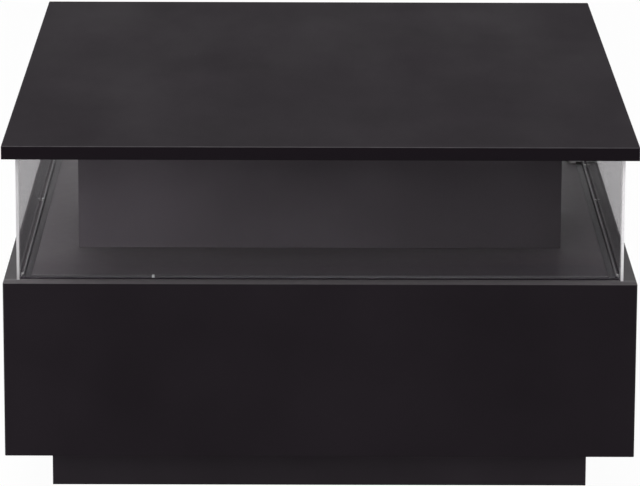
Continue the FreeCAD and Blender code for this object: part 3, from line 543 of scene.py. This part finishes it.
def dress_drawers():
    front = laminate_material("drawer_front_laminate")
    melamine = laminate_material("drawer_melamine", color=(0.016, 0.015, 0.016),
                                 roughness=0.5, smudge=0.04)
    sheet = laminate_material("drawer_sheet", color=(0.022, 0.021, 0.022), roughness=0.55,
                              smudge=0.04)
    member = steel_material("runner_steel", color=(0.60, 0.61, 0.63), roughness=0.3)
    cage = steel_material("cage_steel", color=(0.56, 0.56, 0.54), roughness=0.36)
    ball = steel_material("ball_steel", color=(0.72, 0.72, 0.74), roughness=0.14,
                          pattern=EVEN)
    for hand in HANDS:
        dress([hand + "_drawer_front"], front)
        dress([hand + "_drawer_" + part for part in ("side_front", "side_rear", "back")],
              melamine)
        dress([hand + "_drawer_bottom"], sheet)
        dress(["%s_%s_runner_%s" % (hand, end, part) for end in ENDS
               for part in ("cabinet", "middle", "drawer")], member)
        dress([hand + "_outer_cages", hand + "_inner_cages"], cage)
        dress([hand + "_outer_balls", hand + "_inner_balls"], ball)


# Meshes

# Faces that meet at more than this angle keep a sharp edge
SHARP_ANGLE = math.radians(35)


def neighbours(ring):
    """Each entry of a closed ring with the one after it."""
    return zip(ring, [*ring[1:], ring[0]])


def join_rings(mesh, lower, upper):
    """A band of faces between two rings with equally many vertices."""
    for (low, low_next), (high, high_next) in zip(neighbours(lower), neighbours(upper)):
        mesh.faces.new((low, low_next, high_next, high))


def finish_piece(name, mesh, material, body):
    """Turn mesh code into a piece that rides on a body."""
    bmesh.ops.recalc_face_normals(mesh, faces=mesh.faces)
    for face in mesh.faces:
        face.smooth = True
    data = bpy.data.meshes.new(name)
    mesh.to_mesh(data)
    mesh.free()
    data.set_sharp_from_angle(angle=SHARP_ANGLE)
    data.materials.append(material)
    piece = add_object(name, data)
    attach(piece, body)
    return piece


# Light strips: a flat foot with a round bead along its outer edge, which holds the lights

SLEEVE_BEAD = 3.2 * MM
BEAD_STEPS = 12


def sleeve_outline(width, height):
    """The sleeve's section, as distances from its outer edge and from the floor."""
    radius = SLEEVE_BEAD / 2
    foot = height - radius
    points = [(0.0, 0.0)]
    for step in range(BEAD_STEPS + 1):
        turn = math.pi * step / BEAD_STEPS
        points.append((radius - radius * math.cos(turn), foot + radius * math.sin(turn)))
    return points + [(width - foot, foot), (width, foot / 2), (width, 0.0)]


def add_length(mesh, start, along, inwards, outline):
    """A straight length of the sleeve; inwards points from its outer to its inner edge."""
    ends = [[mesh.verts.new(place + inwards * across + Vector((0, 0, rise)))
             for across, rise in outline] for place in (start, start + along)]
    for cap in ends:
        mesh.faces.new(cap)
    join_rings(mesh, *ends)


def make_light_sleeves():
    low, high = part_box("side_light_strips")
    side, end, base = high[0], high[1], low[2]
    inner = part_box("cross_light_strips")[1][0]
    outline = sleeve_outline(side - inner, high[2] - low[2])
    mesh = bmesh.new()
    for sign in (-1, 1):
        add_length(mesh, Vector((sign * side, -end, base)), Vector((0, 2 * end, 0)),
                   Vector((-sign, 0, 0)), outline)
        add_length(mesh, Vector((-inner, sign * end, base)), Vector((2 * inner, 0, 0)),
                   Vector((0, -sign, 0)), outline)
    sleeve = plastic_material("light_strip_sleeve", color=(0.046, 0.044, 0.048),
                              roughness=0.3, specular=0.015)
    piece = finish_piece("light_strip_sleeves", mesh, sleeve, "carcass")
    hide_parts("side_light_strips", "cross_light_strips")


# Screws in the runners' fixing holes

RUNNER_STEEL = 1.2 * MM
HOLE_INSET = 26 * MM
HEAD_SIDES = 24
CROSS_ARM = 1.55 * MM
CROSS_HALF_WIDTH = 0.38 * MM
CROSS_DEPTH = 0.9 * MM
CROSS_TAPER = 0.7

# The heads' rings, from the rim inwards: a radius and a rise above the runner's web
FLUSH_HEAD = [(3.3 * MM, -0.3 * MM), (3.2 * MM, 0.02 * MM), (2.9 * MM, 0.1 * MM)]
PAN_HEAD = [(3.5 * MM, 0.0), (3.45 * MM, 0.7 * MM), (3.0 * MM, 1.3 * MM), (2.2 * MM, 1.7 * MM)]


def circle_outline(radius):
    turns = [2 * math.pi * step / HEAD_SIDES for step in range(HEAD_SIDES)]
    return [(radius * math.cos(turn), radius * math.sin(turn)) for turn in turns]


def cross_outline():
    """A cross recess seen from above, anticlockwise."""
    arm, half = CROSS_ARM, CROSS_HALF_WIDTH
    corner = [(arm, -half), (arm, half), (half, half)]
    points = []
    for quarter in range(4):
        turn = Matrix.Rotation(quarter * math.pi / 2, 2)
        points += [turn @ Vector(point) for point in corner]
    return points


def add_screw_head(mesh, base, outwards, rings):
    """A round head with a cross recess, on a base that faces outwards along Y."""
    across = Vector((1, 0, 0))
    up = outwards.cross(across)

    def add_ring(outline, rise):
        return [mesh.verts.new(base + across * x + up * y + outwards * rise)
                for x, y in outline]

    levels = [add_ring(circle_outline(radius), rise) for radius, rise in rings]
    for lower, upper in zip(levels, levels[1:]):
        join_rings(mesh, lower, upper)
    top = rings[-1][1]
    mouth = add_ring(cross_outline(), top)
    bottom = add_ring([point * CROSS_TAPER for point in cross_outline()], top - CROSS_DEPTH)
    join_rings(mesh, mouth, bottom)
    mesh.faces.new(bottom)
    edges = [mesh.edges.get(pair) or mesh.edges.new(pair)
             for ring in (levels[-1], mouth) for pair in neighbours(ring)]
    bmesh.ops.triangle_fill(mesh, use_beauty=True, edges=edges)


def make_runner_screws():
    """Flush heads hold the cabinet members, pan heads the drawer members."""
    steel = steel_material("screw_steel", color=(0.58, 0.57, 0.53), roughness=0.26,
                           pattern=EVEN)
    for hand in HANDS:
        for member, rings, body in (("cabinet", FLUSH_HEAD, "carcass"),
                                    ("drawer", PAN_HEAD, hand + "_drawer")):
            mesh = bmesh.new()
            for end in ENDS:
                low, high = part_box("%s_%s_runner_%s" % (hand, end, member))
                # the cabinet member's web lies on the wall, and the drawer member's on the
                # drawer, so the one's heads point at the drawer and the other's at the wall
                faces_rear = (end == "front") == (member == "cabinet")
                outwards = Vector((0, 1 if faces_rear else -1, 0))
                back = low[1] if faces_rear else high[1]
                web = back + outwards.y * RUNNER_STEEL
                for x in (low[0] + HOLE_INSET, high[0] - HOLE_INSET):
                    base = Vector((x, web, (low[2] + high[2]) / 2))
                    add_screw_head(mesh, base, outwards, rings)
            finish_piece("%s_%s_runner_screws" % (hand, member), mesh, steel, body)


# Studio

WHITE = (1.0, 1.0, 1.0)
PAPER = (0.97, 0.97, 0.97)
ROOM_LIGHT = (0.13, 0.125, 0.13)
FLOOR_HALF = 40.0

# Where the studio floor is seen, this share of it glows white, and the rest takes shadows
GLOW_SHARE = 0.97

TABLE_MIDDLE = Vector((0.0, 0.0, 0.3))


def seen_directly(tree):
    """1 for what the camera sees, also in a mirror or through glass."""
    path = tree.nodes.new("ShaderNodeLightPath").outputs
    seen = math_node(tree, "ADD", path["Is Camera Ray"], path["Is Glossy Ray"])
    return math_node(tree, "ADD", seen, path["Is Transmission Ray"], clamp=True)


def make_floor():
    mesh = bpy.data.meshes.new("studio_floor")
    corners = [(-FLOOR_HALF, -FLOOR_HALF, 0), (FLOOR_HALF, -FLOOR_HALF, 0),
               (FLOOR_HALF, FLOOR_HALF, 0), (-FLOOR_HALF, FLOOR_HALF, 0)]
    mesh.from_pydata(corners, [], [(0, 1, 2, 3)])
    floor = add_object("studio_floor", mesh)
    material, tree = new_material("studio_floor")
    paper = node(tree, "ShaderNodeBsdfDiffuse", Color=opaque(PAPER))
    glow = node(tree, "ShaderNodeEmission", Color=opaque(WHITE), Strength=1.0)
    share = multiply(tree, seen_directly(tree), GLOW_SHARE)
    finish_tree(tree, mix_shaders(tree, share, paper, glow))
    mesh.materials.append(material)


def make_world():
    world = bpy.data.worlds.new("studio")
    world.use_nodes = True
    tree = world.node_tree
    tree.nodes.clear()
    light = node(tree, "ShaderNodeBackground", Color=opaque(ROOM_LIGHT))
    backdrop = node(tree, "ShaderNodeBackground", Color=opaque(WHITE))
    finish_tree(tree, mix_shaders(tree, seen_directly(tree), light, backdrop),
                "ShaderNodeOutputWorld")
    bpy.context.scene.world = world


def make_lamp(name, strength, azimuth, elevation, distance, width):
    """A square soft box; azimuth 0 is in front of the table, 90 at its right.

    strength is the light that falls on a surface at the table's middle, in W/m2."""
    data = bpy.data.lights.new(name, "AREA")
    data.shape = "SQUARE"
    data.size = width
    data.energy = strength * math.pi * distance ** 2
    lamp = add_object(name, data)
    turn = math.radians(azimuth)
    rise = math.radians(elevation)
    towards = Vector((math.sin(turn) * math.cos(rise), -math.cos(turn) * math.cos(rise),
                      math.sin(rise)))
    lamp.location = TABLE_MIDDLE + towards * distance
    lamp.rotation_euler = towards.to_track_quat("Z", "Y").to_euler()


def make_studio():
    make_floor()
    make_world()
    make_lamp("left_box", strength=1.3, azimuth=-78, elevation=60, distance=3.0, width=1.6)
    make_lamp("right_box", strength=0.65, azimuth=78, elevation=60, distance=3.0, width=1.6)
    make_lamp("front_fill", strength=1.5, azimuth=-18, elevation=30, distance=6.0, width=4.5)
    make_lamp("rear_fill", strength=0.5, azimuth=-150, elevation=35, distance=6.0, width=4.5)


make_camera()
dress_boards()
dress_fittings()
dress_joinery()
dress_drawers()
make_light_sleeves()
make_runner_screws()
make_studio()

scene = bpy.context.scene
scene.view_settings.view_transform = "Standard"
